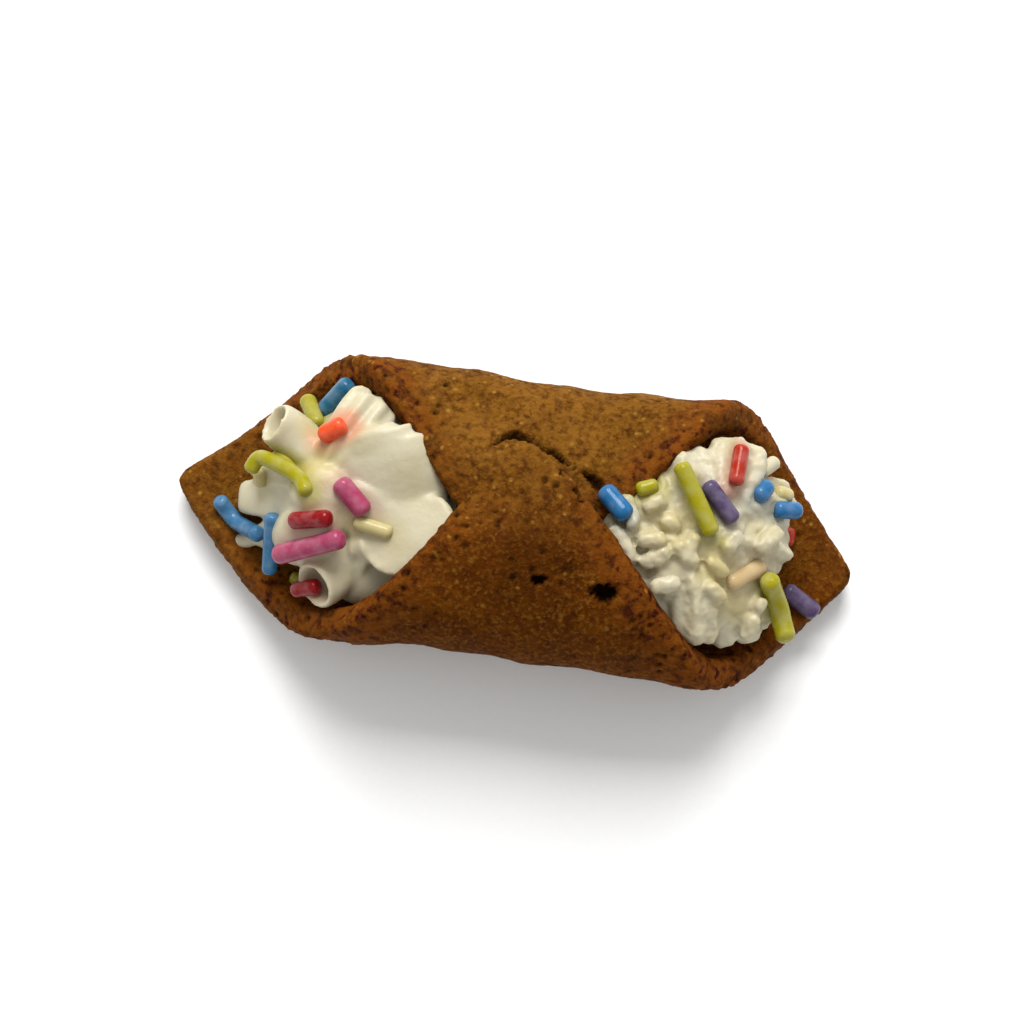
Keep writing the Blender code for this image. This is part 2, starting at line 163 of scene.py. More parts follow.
# %% Floor and light
FLOOR_SIZE = 3000.0
FLOOR_DROP = 0.02
PAPER = "#FEFEFD"
PAPER_SHADE = "#F9F9F7"
SKY_STRENGTH = 0.6
SOFTBOX_POWER = 3.0
SOFTBOX_SIZE = 260.0
SOFTBOX_PLACE = Vector((-40.0, 360.0, 350.0))


def paper_material():
    material, tree, shader, place = new_material("matt_paper", Roughness=0.9)
    fibres = noise_of(tree, place, 0.8, 4.0)
    tree.links.new(tinted(tree, fibres, PAPER_SHADE, PAPER), shader.inputs["Base Color"])
    add_bump(tree, shader, fibres, 0.1, 0.05)
    return material


def make_floor():
    builder = bmesh.new()
    bmesh.ops.create_grid(builder, x_segments=1, y_segments=1, size=0.5 * FLOOR_SIZE * MM)
    mesh = bpy.data.meshes.new("paper_floor")
    builder.to_mesh(mesh)
    builder.free()
    floor = placed("paper_floor", mesh)
    floor.location.z = -FLOOR_DROP * MM
    mesh.materials.append(paper_material())


def make_light():
    world = bpy.data.worlds.new("studio_sky")
    world.use_nodes = True
    sky = world.node_tree.nodes["Background"].inputs
    sky["Color"].default_value = (1.0, 1.0, 1.0, 1.0)
    sky["Strength"].default_value = SKY_STRENGTH
    bpy.context.scene.world = world
    data = bpy.data.lights.new("softbox", "AREA")
    data.energy, data.size = SOFTBOX_POWER, SOFTBOX_SIZE * MM
    softbox = placed("softbox", data)
    softbox.location = SOFTBOX_PLACE * MM
    softbox.rotation_euler = (SOFTBOX_PLACE - AIM).to_track_quat("Z", "Y").to_euler()
    bpy.context.scene.view_settings.view_transform = "Standard"


make_floor()
make_light()
print("one paper floor, one sky and one softbox")

# %% [markdown]
# The dough was rolled out flat, cut as a diamond and wrapped round a rod, front corner over back
# corner. The same is done here in numbers: a square is mapped to the diamond, and the diamond is
# wrapped round a soft oval. A place on the flat dough is (along, across), and out is the distance
# from the middle of the dough. All of these take whole arrays, which is quick for many points.

# %% The diamond and the roll
LEFT_TIP = (-38.5, 0.4)
RIGHT_TIP = (38.5, -1.5)
FRONT_CORNER = (-1.4, -45.4)
BACK_CORNER = (0.0, 43.5)
TIP_SHARPNESS = 34.0
FLAP_SHARPNESS = 13.0
LEFT_FRONT_BOW = (-0.09, -0.13)
LEFT_BACK_BOW = (-0.066, 0.054)
RIGHT_FRONT_BOW = (0.035, -0.035)
RIGHT_BACK_BOW = (0.058, -0.065)
DOUGH = 3.4
HALF_WIDTH = 14.0
HALF_HEIGHT = 7.9
BOXINESS = 2.2
WAIST = 0.05
WAIST_LENGTH = 13.0
FRONT_WAIST_AT = -3.0
BACK_WAIST_AT = 8.0
FLAP_GAP = 0.7
LAP_START = math.radians(75)
LAP_END = math.radians(150)
LAP_REACH = (9.0, 24.0)
TIP_RISE = 1.3
TIP_RISE_FROM = 19.0
FLAT_SPOT_CUT = 0.45
WAVE = 0.22


def smoothstep(low, high, value):
    t = np.clip((np.asarray(value, float) - low) / (high - low), 0.0, 1.0)
    return t * t * (3.0 - 2.0 * t)


def section_at_angle(angle):
    power = 2.0 / BOXINESS
    sine, cosine = np.sin(angle), np.cos(angle)
    y = HALF_WIDTH * np.sign(sine) * np.abs(sine) ** power
    z = HALF_HEIGHT * (1.0 - np.sign(cosine) * np.abs(cosine) ** power)
    return y, z


ARC_ANGLES = np.linspace(0.0, math.pi, 721)
ARC_LENGTHS = np.concatenate(([0.0], np.cumsum(np.hypot(*np.diff(section_at_angle(ARC_ANGLES))))))


def angle_at_length(length):
    half_turn = ARC_LENGTHS[-1]
    folded = np.where(length > half_turn, 2.0 * half_turn - length, length)
    angle = np.interp(folded, ARC_LENGTHS, ARC_ANGLES)
    return np.where(length > half_turn, 2.0 * math.pi - angle, angle)


def unevenness(along, across):
    waves = np.sin(0.33 * along + 1.1) * np.sin(0.29 * across + 0.4)
    waves = waves + 0.6 * np.sin(0.71 * along - 0.17 * across + 2.0)
    overlap = smoothstep(22, 30, np.abs(across)) * (1.0 - smoothstep(8, 16, np.abs(along)))
    return WAVE * waves * (1.0 - overlap)


def wrapped(along, across, out):
    """Where places on the flat dough end up on the roll, as rows of x, y, z."""
    side = np.where(across >= 0.0, 1.0, -1.0)
    angle = angle_at_length(np.abs(across))
    y, z = section_at_angle(angle)
    before, after = section_at_angle(angle - 0.01), section_at_angle(angle + 0.01)
    run, rise = after[0] - before[0], after[1] - before[1]
    length = np.hypot(run, rise)
    reach = 1.0 - smoothstep(*LAP_REACH, np.abs(along))
    lap = 0.5 * (DOUGH + FLAP_GAP) * reach * smoothstep(LAP_START, LAP_END, angle)
    push = out + unevenness(along, across) - side * lap
    y, z = y + push * rise / length, z - push * run / length
    waist_at = np.where(side > 0.0, BACK_WAIST_AT, FRONT_WAIST_AT)
    waist = 1.0 - WAIST * np.exp(-(((along - waist_at) / WAIST_LENGTH) ** 2))
    base = 0.5 * DOUGH - FLAT_SPOT_CUT + TIP_RISE * smoothstep(TIP_RISE_FROM, -LEFT_TIP[0], np.abs(along))
    return np.column_stack((along, side * y * waist, z + base))


def bowed(value, other, bow_below, bow_above):
    middle = np.where(value > 0.0, bow_above[0], bow_below[0])
    slant = np.where(value > 0.0, bow_above[1], bow_below[1])
    return value * (1.0 + (middle + slant * other) * (1.0 - other * other))


def diamond_place(s, t):
    """Maps the square (-1..1, -1..1) to the diamond of dough with its rounded corners."""
    sharpness = np.where(s * t > 0.0, TIP_SHARPNESS, FLAP_SHARPNESS)
    largest = np.maximum(np.maximum(np.abs(s), np.abs(t)), 1e-9)
    squareness = np.minimum(np.abs(s), np.abs(t)) / largest
    shrink = (1.0 + squareness**sharpness) ** (-1.0 / sharpness)
    rounding = 1.0 + (shrink - 1.0) * largest**6
    s, t = s * rounding, t * rounding
    s, t = bowed(s, t, LEFT_BACK_BOW, RIGHT_FRONT_BOW), bowed(t, s, LEFT_FRONT_BOW, RIGHT_BACK_BOW)
    shares = ((1 - s) * (1 - t), (1 + s) * (1 - t), (1 + s) * (1 + t), (1 - s) * (1 + t))
    corners = (LEFT_TIP, FRONT_CORNER, RIGHT_TIP, BACK_CORNER)
    along = sum(corner[0] * share for corner, share in zip(corners, shares)) / 4
    across = sum(corner[1] * share for corner, share in zip(corners, shares)) / 4
    return along, across


print("dough round the roll's half turn:", round(ARC_LENGTHS[-1], 1), "mm")

# %% [markdown]
# Baked dough has no sharp edge: the cut rim swells and rounds. So the wall is a closed skin of
# three parts, an outer grid, an inner grid, and rows of points that run round the rim between
# them. The front flap's left side was pressed into the dough below until the two fused, so the
# outer skin sinks there, while its right side stands clear with a dark gap below it.

# %% The wall of dough
SHEET_CELLS = 150
RIM_ROWS = 8
RIM_INSET = 0.035
PINCH = 2.9


def pinch(s, t, across):
    """How far the front flap's outer skin is pressed down, from 0 to 1."""
    near_left_side = smoothstep(0.62, 1.0, -t)
    over_the_back_flap = smoothstep(31.0, 37.0, -across)
    near_tip = smoothstep(0.75, 1.0, s)
    return near_left_side * over_the_back_flap * (1.0 - 0.45 * near_tip)


def skin(s, t, out):
    along, across = diamond_place(s, t)
    lowered = PINCH * pinch(s, t, across) * smoothstep(-0.5, 1.0, out / (0.5 * DOUGH))
    return wrapped(along, across, out - lowered)


def border_of_square(cells):
    """Points round the edge of the square -1..1, in order."""
    steps = np.linspace(-1.0, 1.0, cells + 1)[:-1]
    ones = np.ones(cells)
    s = np.concatenate((steps, ones, -steps, -ones))
    t = np.concatenate((-ones, steps, ones, -steps))
    return s, t


def grid_faces(cells, first, flipped):
    i, j = np.meshgrid(np.arange(cells), np.arange(cells), indexing="ij")
    corner = first + i * (cells + 1) + j
    quads = np.stack((corner, corner + cells + 1, corner + cells + 2, corner + 1), axis=-1).reshape(-1, 4)
    return quads[:, ::-1] if flipped else quads


def border_of_grid(cells, first):
    """The border's vertex numbers of such a grid, in the order of border_of_square."""
    run, wide = np.arange(cells), cells + 1
    parts = (run * wide, cells * wide + run, (cells - run) * wide + cells, cells - run)
    return first + np.concatenate(parts)


def places_in_square(cells):
    steps = np.linspace(-1.0, 1.0, cells + 1)
    return (a.ravel() for a in np.meshgrid(steps, steps, indexing="ij"))


def wall_of_dough(cells):
    s, t = (a * (1.0 - RIM_INSET) for a in places_in_square(cells))
    half = 0.5 * DOUGH
    points = [skin(s, t, np.full(s.shape, half)), skin(s, t, np.full(s.shape, -half))]
    count = (cells + 1) ** 2
    faces = [grid_faces(cells, 0, False), grid_faces(cells, count, True)]
    edge_s, edge_t = border_of_square(cells)
    ring = border_of_grid(cells, 0)
    first = 2 * count
    for row in range(1, RIM_ROWS):
        turn = math.pi * row / RIM_ROWS
        size = 1.0 - RIM_INSET + RIM_INSET * math.sin(turn) ** 0.6
        out = half * math.copysign(abs(math.cos(turn)) ** 0.7, math.cos(turn))
        points.append(skin(edge_s * size, edge_t * size, np.full(edge_s.shape, out)))
        below = first + np.arange(4 * cells)
        faces.append(np.column_stack((ring, below, np.roll(below, -1), np.roll(ring, -1))))
        ring, first = below, first + 4 * cells
    below = border_of_grid(cells, count)
    faces.append(np.column_stack((ring, below, np.roll(below, -1), np.roll(ring, -1))))
    return np.concatenate(points), np.concatenate(faces)


def mesh_object(name, points, faces):
    """A mesh object at the origin from points in millimetres, with its faces turned outwards."""
    mesh = bpy.data.meshes.new(name)
    mesh.from_pydata((np.asarray(points) * MM).tolist(), [], [list(face) for face in faces])
    builder = bmesh.new()
    builder.from_mesh(mesh)
    bmesh.ops.remove_doubles(builder, verts=builder.verts, dist=0.001 * MM)
    bmesh.ops.recalc_face_normals(builder, faces=builder.faces)
    if builder.calc_volume(signed=True) < 0.0:
        bmesh.ops.reverse_faces(builder, faces=builder.faces)
    builder.to_mesh(mesh)
    builder.free()
    return placed(name, mesh)


def applied(obj):
    """Turns an object's modifiers into plain mesh."""
    graph = bpy.context.evaluated_depsgraph_get()
    mesh = bpy.data.meshes.new_from_object(obj.evaluated_get(graph))
    obj.modifiers.clear()
    obj.data = mesh
    return obj


def remeshed(name, points, faces, voxel, smoothing):
    """An object with one even skin round all the parts that overlap, lightly smoothed."""
    obj = mesh_object(name, points, faces)
    remesh = obj.modifiers.new("one skin", "REMESH")
    remesh.mode = "VOXEL"
    remesh.voxel_size = voxel * MM
    smooth = obj.modifiers.new("soften", "SMOOTH")
    smooth.factor, smooth.iterations = 0.5, smoothing
    return applied(obj)


DOUGH_VOXEL = 0.32
shell = remeshed("rolled_dough", *wall_of_dough(SHEET_CELLS), DOUGH_VOXEL, 2)
print("dough:", len(shell.data.polygons), "faces")

# %% [markdown]
# Every point of the wall should know where on the flat dough it lies: how far from the cut edge,
# and on which face. The nearest point of a dense sampling of the sheet tells it. The rim bakes
# rougher and darker than the rest, and the inner face stays smoother.

# %% Where each point lies on the dough
RIM_BAND = (1.4, 5.6)


def sheet_samples(cells):
    s, t = places_in_square(cells)
    along, across = diamond_place(s, t)
    edge_along, edge_across = diamond_place(*border_of_square(cells))
    to_edge = np.full(along.shape, 1e9)
    for edge_a, edge_b in zip(edge_along, edge_across):
        to_edge = np.minimum(to_edge, np.hypot(along - edge_a, across - edge_b))
    points, facts = [], []
    for out in (0.5 * DOUGH, -0.5 * DOUGH):
        points.append(skin(s, t, np.full(s.shape, out)))
        facts.append(np.column_stack((along, across, to_edge, np.full(s.shape, out))))
    return np.concatenate(points), np.concatenate(facts)


def tree_of(points):
    tree = KDTree(len(points))
    for index, point in enumerate(points.tolist()):
        tree.insert(point, index)
    tree.balance()
    return tree


def vertex_array(mesh, kind="co"):
    values = np.empty(len(mesh.vertices) * 3)
    if kind == "co":
        mesh.vertices.foreach_get("co", values)
        return values.reshape(-1, 3) / MM
    mesh.vertex_normals.foreach_get("vector", values)
    return values.reshape(-1, 3)


def store(mesh, name, values, kind="FLOAT"):
    attribute = mesh.attributes.new(name, kind, "POINT")
    attribute.data.foreach_set("value" if kind == "FLOAT" else "color", np.asarray(values, float).ravel())


sample_points, sample_facts = sheet_samples(SHEET_CELLS)
sample_tree = tree_of(sample_points)
shell_points = vertex_array(shell.data)
nearest = [sample_tree.find(point)[1] for point in shell_points.tolist()]
along, across, to_edge, out = sample_facts[nearest].T
rim = 1.0 - smoothstep(*RIM_BAND, to_edge)
inside = np.where(out < 0.0, 1.0, 0.0)
store(shell.data, "rim", rim)
store(shell.data, "inside", inside)
print("rim share", round(float(rim.mean()), 2), "inner face share", round(float(inside.mean()), 2))

# %% [markdown]
# A few bubbles burst on the front flap while it baked and left open pits, and where the flap's
# tip was pressed down a crack stayed open, which runs on to a gap beside the right mouth.
# They are cut into the skin here, each with an uneven outline, and their depth is kept so that
# the material paints them dark as painted shade.

# %% Pits and the crack at the tip
# Each pit on the flat dough: along, across, its two half lengths and its depth.
PITS = [
    (10.2, -28.8, 1.35, 0.85, 1.7),
    (3.3, -29.1, 0.8, 0.5, 1.1),
    (6.1, -30.4, 0.9, 0.6, 0.35),
    (7.4, -38.3, 1.6, 0.9, 1.6),
    (4.9, -39.9, 0.9, 0.6, 0.9),
]
PIT_RAGGEDNESS = 0.28
# The crack's line, seen from above, round the front flap's tip: x, y and half its width there.
CRACK = [
    (-2.9, 6.9, 0.16), (-2.1, 7.7, 0.3), (-1.1, 8.1, 0.42), (0.2, 7.8, 0.28),
    (1.2, 7.6, 0.16), (2.1, 6.9, 0.16), (3.2, 6.6, 0.3), (4.2, 6.0, 0.3),
    (5.4, 5.3, 0.05), (6.6, 4.9, 0.12), (7.6, 4.4, 0.5), (8.6, 3.5, 0.45),
]
CRACK_DEPTH = 1.0
CRACK_STEPS = 90
CRACK_RAGGEDNESS = 0.35


def pit_depths(along, across):
    depth = np.zeros(along.shape)
    for pit_along, pit_across, length, width, deepest in PITS:
        a, b = (along - pit_along) / length, (across - pit_across) / width
        turn = np.arctan2(b, a)
        ragged = 1.0 + PIT_RAGGEDNESS * (0.6 * np.sin(3 * turn + pit_along) + 0.4 * np.sin(7 * turn))
        depth = np.maximum(depth, deepest * (1.0 - smoothstep(0.55, 1.15, np.hypot(a, b) / ragged)))
    return depth


depths = np.where(out > 0.0, pit_depths(along, across), 0.0)
crack_x, crack_y, crack_width = (
    np.interp(np.linspace(0, 1, CRACK_STEPS), np.linspace(0, 1, len(CRACK)), axis) for axis in zip(*CRACK)
)
to_crack = tree_of(np.column_stack((crack_x, crack_y, np.zeros(CRACK_STEPS))))
on_top = (shell_points[:, 2] > 14.0) & (np.abs(shell_points[:, 0]) < 12.0)
for index in np.nonzero(on_top)[0]:
    x, y, z = shell_points[index]
    step, distance = to_crack.find((x, y, 0.0))[1:]
    ragged = 1.0 + CRACK_RAGGEDNESS * math.sin(6.1 * x + 1.0) * math.sin(4.7 * y)
    closed = float(smoothstep(0.3, 1.3, distance / (crack_width[step] * ragged)))
    depths[index] = max(depths[index], CRACK_DEPTH * (1.0 - closed))
shell_normals = vertex_array(shell.data, "normal")
shell_points = shell_points - shell_normals * depths[:, None]
shell_points[:, 2] = np.maximum(shell_points[:, 2], 0.0)
shell.data.vertices.foreach_set("co", (shell_points * MM).ravel())
shell.data.update()
# The pits' and the crack's depth is kept so that the material paints them dark, as painted shade.
store(shell.data, "pit_shade", np.clip(depths, 0.0, 1.0))
print("deepest pit:", round(float(depths.max()), 1), "mm")

# %% [markdown]
# Geometry Nodes lay the fine relief over that form, so that each height stays a named setting.
# One small class builds such a node tree: it makes the named inputs, adds nodes, and ends in
# Realize Instances and Set Material.

# %% A helper for geometry node trees
class Recipe:
    def __init__(self, name, **sizes):
        self.tree = bpy.data.node_groups.new(name, "GeometryNodeTree")
        self.sizes, self.sockets = sizes, {}
        kinds = {label: "Int" if isinstance(size, int) else "Float" for label, size in sizes.items()}
        sockets = self.tree.interface
        sockets.new_socket("Geometry", in_out="OUTPUT", socket_type="NodeSocketGeometry")
        for label, kind in {"Geometry": "Geometry", **kinds, "Material": "Material"}.items():
            socket = sockets.new_socket(label, in_out="INPUT", socket_type="NodeSocket" + kind)
            self.sockets[label] = socket.identifier
        self.inputs = self.tree.nodes.new("NodeGroupInput").outputs

    def add(self, kind, inputs=None, **settings):
        return add_node(self.tree, kind, inputs, **settings)

    def plus(self, first, second):
        return math_of(self.tree, "ADD", first, second)

    def minus(self, first, second):
        return math_of(self.tree, "SUBTRACT", first, second)

    def times(self, first, second):
        return math_of(self.tree, "MULTIPLY", first, second)

    def over(self, first, second):
        return math_of(self.tree, "DIVIDE", first, second)

    def attribute(self, name):
        return self.add("GeometryNodeInputNamedAttribute", {"Name": name}, data_type="FLOAT").outputs[0]

    def place(self):
        position = self.add("GeometryNodeInputPosition").outputs[0]
        return self.add("ShaderNodeSeparateXYZ", {0: position}).outputs

    def swell(self, size_name, detail):
        """Noise from -1 to 1, with features as large as the named setting says."""
        scale = self.over(1.0 / MM, self.inputs[size_name])
        noise = self.add("ShaderNodeTexNoise", {"Scale": scale, "Detail": detail}).outputs[0]
        return self.times(self.minus(noise, 0.5), 2.0)

    def raise_skin(self, geometry, height):
        """Moves the skin outwards by a height in millimetres and ends the tree."""
        normal = self.add("GeometryNodeInputNormal").outputs[0]
        inputs = {0: normal, "Scale": self.times(height, MM)}
        offset = self.add("ShaderNodeVectorMath", inputs, operation="SCALE").outputs[0]
        self.end(self.add("GeometryNodeSetPosition", {"Geometry": geometry, "Offset": offset}).outputs[0])

    def end(self, geometry):
        real = self.add("GeometryNodeRealizeInstances", {0: geometry}).outputs[0]
        inputs = {"Geometry": real, "Material": self.inputs["Material"]}
        done = self.add("GeometryNodeSetMaterial", inputs)
        self.tree.links.new(done.outputs[0], self.tree.nodes.new("NodeGroupOutput").inputs[0])

    def apply_to(self, obj, material):
        modifier = obj.modifiers.new(self.tree.name, "NODES")
        modifier.node_group = self.tree
        for label, value in {**self.sizes, "Material": material}.items():
            modifier[self.sockets[label]] = value
        applied(obj)
        obj.data.polygons.foreach_set("use_smooth", [True] * len(obj.data.polygons))


# %% [markdown]
# A baked biscuit crust is uneven at three sizes: soft lumps of a few millimetres, crags of about
# one, and small open pores. The crags stand taller on the cut rim. The underside stays flat where
# it lay on the tray.

# %% The crust's relief
def crust_recipe():
    lumps = {"Lump Size": 3.4, "Lump Height": 0.16, "Crag Size": 0.95, "Crag Height": 0.12, "Rim Crags": 0.24}
    recipe = Recipe("crust", **lumps, **{"Pore Size": 1.7, "Pore Depth": 0.3})
    size, tree, times = recipe.inputs, recipe.tree, recipe.times
    rim_share = recipe.attribute("rim")
    crag_height = recipe.plus(size["Crag Height"], times(rim_share, size["Rim Crags"]))
    lump = times(recipe.swell("Lump Size", 1.0), size["Lump Height"])
    height = recipe.plus(lump, times(recipe.swell("Crag Size", 3.0), crag_height))
    pore_scale = recipe.over(1.0 / MM, size["Pore Size"])
    cells = recipe.add("ShaderNodeTexVoronoi", {"Scale": pore_scale, "Randomness": 1.0}).outputs[0]
    pore_shade = spread(tree, cells, 0.05, 0.3, 1.0, 0.0, interpolation_type="SMOOTHSTEP")
    # Pores come in patches, and more of them on the rim.
    chance = recipe.add("ShaderNodeTexNoise", {"Scale": per_mm(6.0), "Detail": 2.0}).outputs[0]
    chance = recipe.plus(chance, times(rim_share, 0.16))
    open_pore = times(pore_shade, spread(tree, chance, 0.5, 0.62))
    height = recipe.minus(height, times(open_pore, size["Pore Depth"]))
    # The inner face is half as rough, and the underside is flat.
    height = times(height, recipe.minus(1.0, times(recipe.attribute("inside"), 0.5)))
    height = times(height, spread(tree, recipe.place()[2], 0.2 * MM, 1.4 * MM))
    # The open pores are kept so that the material paints them nearly black, as painted shade.
    inputs = {"Geometry": size["Geometry"], "Name": "pore_shade", "Value": open_pore}
    recipe.raise_skin(recipe.add("GeometryNodeStoreNamedAttribute", inputs).outputs[0], height)
    return recipe


# %% [markdown]
# ** Baked biscuit dough** is a matt starchy crumb browned by heat, so it reads as dry, with only
# a faint sheen where the fat came up. Its brown shifts in patches: a warm mid brown, darker and
# redder where it caught more heat, with pale grains of flour. Painted shade darkens its front and
# the middle of the front flap, and paints its pores, pits and crack nearly black.

# %% Baked biscuit dough
# The baked and brown tones also serve as painted shade on the front, the dark tone as painted shade in the
# middle of the front flap, and the pore tone as painted shade in the pores, pits and crack.
BISCUIT = {
    "light": "#83561D", "mid": "#714912", "dark": "#3E1D03", "rim": "#743E0E", "pore_shade": "#180A01",
    "grain": "#99702C", "baked": "#542903", "brown": "#6A3804", "red_crag": "#36100A",
}
# Layers of mottling, each from one noise: its size, where it starts and ends, its most, its colour.
MOTTLING = [
    (2.4, 0.5, 0.72, 0.75, "dark"),
    (0.8, 0.46, 0.66, 0.75, "dark"),
    (1.3, 0.5, 0.66, 0.45, "red_crag"),
    (0.5, 0.5, 0.66, 0.6, "light"),
]
# Painted shade: a darker spot on the middle of the front flap, where it faces forwards, away from the light.
SHADED_SPOT_AT = Vector((2.0, -5.0, 18.0)) * MM
SHADED_SPOT_REACH = 6.5


def attribute_of(tree, name):
    return add_node(tree, "ShaderNodeAttribute", attribute_name=name).outputs["Fac"]


def biscuit_material():
    shine = {"Roughness": 0.7, "IOR": 1.4, "Specular_IOR_Level": 0.03}
    material, tree, shader, place = new_material("baked_biscuit_dough", **shine)
    x, y = add_node(tree, "ShaderNodeSeparateXYZ", {0: place}).outputs[:2]

    def noise(size, detail):
        return noise_of(tree, place, size, detail, 0.6)

    def patches(size, detail, *ranges):
        return spread(tree, noise(size, detail), *ranges)

    def along(axis, start, end, *ranges):
        return spread(tree, axis, start * MM, end * MM, *ranges)

    def times(first, second):
        return math_of(tree, "MULTIPLY", first, second)

    colour = tinted(tree, patches(7.0, 4.0, 0.38, 0.62), BISCUIT["mid"], BISCUIT["light"])
    # The front is darker than the back, partly browner from the bake and partly painted shade where it turns
    # away from the light. The right end is browner than the left end.
    browner_and_shaded = math_of(tree, "MAXIMUM", along(y, 5.0, -4.0), along(x, 12.0, 32.0, 0.0, 0.7))
    browner_and_shaded = times(browner_and_shaded, along(x, -30.0, -12.0, 0.1, 1.0))
    browns_and_shade = tinted(tree, patches(5.0, 3.0, 0.35, 0.65), BISCUIT["baked"], BISCUIT["brown"])
    colour = tinted(tree, browner_and_shaded, colour, browns_and_shade)
    for size, low, high, most, tone in MOTTLING:
        colour = tinted(tree, patches(size, 5.0, low, high, 0.0, most), colour, BISCUIT[tone])
    # Painted shade darkens the middle of the front flap, where it faces away from the light.
    off_spot = add_node(tree, "ShaderNodeVectorMath", {0: place, 1: SHADED_SPOT_AT}, operation="DISTANCE")
    spot_shade = along(off_spot.outputs["Value"], SHADED_SPOT_REACH, 0.4 * SHADED_SPOT_REACH, 0.0, 0.6)
    colour = tinted(tree, spot_shade, colour, BISCUIT["dark"])
    # The rim's own tint is full beside the mouths, and weak at the flap's tip and at the roll's tips.
    off_middle = math_of(tree, "ABSOLUTE", x)
    beside_mouths = times(along(off_middle, 4.0, 11.0, 0.15, 1.0), along(off_middle, 26.0, 33.0, 1.0, 0.35))
    rim_share = times(attribute_of(tree, "rim"), beside_mouths)
    rim_colour = tinted(tree, patches(1.1, 4.0, 0.46, 0.62), BISCUIT["rim"], BISCUIT["red_crag"])
    colour = tinted(tree, times(rim_share, patches(2.4, 4.0, 0.3, 0.6, 0.35, 1.0)), colour, rim_colour)
    cells = add_node(tree, "ShaderNodeTexVoronoi", {"Vector": place, "Scale": per_mm(1.1)})
    grains = spread(tree, cells.outputs["Distance"], 0.12, 0.3, 0.75, 0.0)
    few = times(patches(1.9, 2.0, 0.52, 0.6), along(y, -13.0, -6.0, 0.3, 1.0))
    colour = tinted(tree, times(grains, few), colour, BISCUIT["grain"])
    # Painted shade: pores, pits and the crack are painted nearly black.
    for hole in ("pore_shade", "pit_shade"):
        colour = tinted(tree, attribute_of(tree, hole), colour, BISCUIT["pore_shade"])
    tree.links.new(colour, shader.inputs["Base Color"])
    tree.links.new(patches(1.6, 3.0, 0.35, 0.65, 0.52, 0.75), shader.inputs["Roughness"])
    add_bump(tree, shader, noise(0.5, 5.0), 0.9, 0.35)
    return material


crust_recipe().apply_to(shell, biscuit_material())
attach(shell, "root")
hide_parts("shell")
print("crust with relief:", len(shell.data.polygons), "faces")

# %% [markdown]
# The cream was piped into both mouths with a star nozzle and pushed out in folds: petals, rolled
# tubes and tongues that all grow from a hub. Each fold is a ribbon: a rounded section that runs
# along a curved spine, wider in its middle, with flutes along it where the nozzle's teeth ran.
# A rolled tube is such a ribbon with its end turned inwards. A broad petal is a thin fan instead,
# given by the line of its lip.

# %% One fold of cream
FOLD_ROWS = 26
FOLD_SIDES = 40
PETAL_CELLS = 32
PETAL_THICKNESS = 1.9
# Near 1 a fold's section is an ellipse, and below 1 it fills out towards a box.
FULLNESS = 0.85
# Rings that close a rolled tube: each one's size, and how far back it lies as a share of the hollow.
HOLLOW_RINGS = ((0.9, -0.25), (0.72, 0.0), (0.6, 0.45), (0.45, 0.85), (0.2, 1.0))


def through(values, shares):
    """A smooth curve through three values: at the start, in the middle and at the end."""
    first, middle, last = (np.asarray(v, float) for v in values)
    u = shares.reshape(-1, *([1] * first.ndim))
    return first * (1 - u) * (1 - 2 * u) + middle * 4 * u * (1 - u) + last * u * (2 * u - 1)


def tube_faces(rows, sides):
    """The sides and both ends of a tube whose points come row by row."""
    faces = []
    for row in range(rows - 1):
        for side in range(sides):
            a, b = row * sides + side, row * sides + (side + 1) % sides
            faces.append((a, b, b + sides, a + sides))
    return [*faces, tuple(reversed(range(sides))), tuple(range((rows - 1) * sides, rows * sides))]


def fold(spine, half_widths, thickness, flutes=0, cup=0.0, flute_depth=0.3, hollow=0.0, teeth=0.0):
    """Points and faces of one fold. A hollow turns its end inwards, and teeth tear it, by that much."""
    shares = np.linspace(0.0, 1.0, FOLD_ROWS)
    middle, widths = through(spine, shares), through(half_widths, shares)
    forwards = np.gradient(middle, axis=0)
    length = float(np.linalg.norm(forwards, axis=1).sum())
    forwards /= np.linalg.norm(forwards, axis=1)[:, None]
    sideways = np.cross(forwards, (0.0, 0.0, 1.0))
    sideways /= np.linalg.norm(sideways, axis=1)[:, None]
    upwards = np.cross(sideways, forwards)
    turn = np.linspace(0.0, 2.0 * math.pi, FOLD_SIDES, endpoint=False)
    flat, tall = np.sign(np.cos(turn)) * np.abs(np.cos(turn)) ** FULLNESS, np.sin(turn)
    ridges = 1.0 + flute_depth * np.cos(2.0 * math.pi * flutes * 0.5 * (flat + 1.0)) * (flutes > 0)
    rows = []
    rounding = min(0.45, 0.5 * thickness / length)
    for row in range(FOLD_ROWS):
        to_end = min(shares[row], 1.0 - shares[row]) if hollow == 0.0 else shares[row]
        closing = math.sqrt(max(0.0, 1.0 - (1.0 - min(to_end / rounding, 1.0)) ** 2))
        across_fold = widths[row] * (0.35 + 0.65 * closing) * flat
        height = 0.5 * thickness * max(closing, 0.05) * tall * np.where(tall > 0, ridges, 1.0)
        height = height + cup * widths[row] * flat**2
        torn = teeth * shares[row] ** 6 * np.sin(9.0 * flat + 1.0) * np.cos(4.0 * flat)
        here = middle[row] + across_fold[:, None] * sideways[row] + height[:, None] * upwards[row]
        rows.append(here + torn[:, None] * forwards[row])
    if hollow > 0.0:
        end = rows[-1]
        centre = end.mean(axis=0)
        for size, back in HOLLOW_RINGS:
            rows.append(centre + (end - centre) * size - forwards[-1] * back * hollow)
    return np.concatenate(rows), tube_faces(len(rows), FOLD_SIDES)


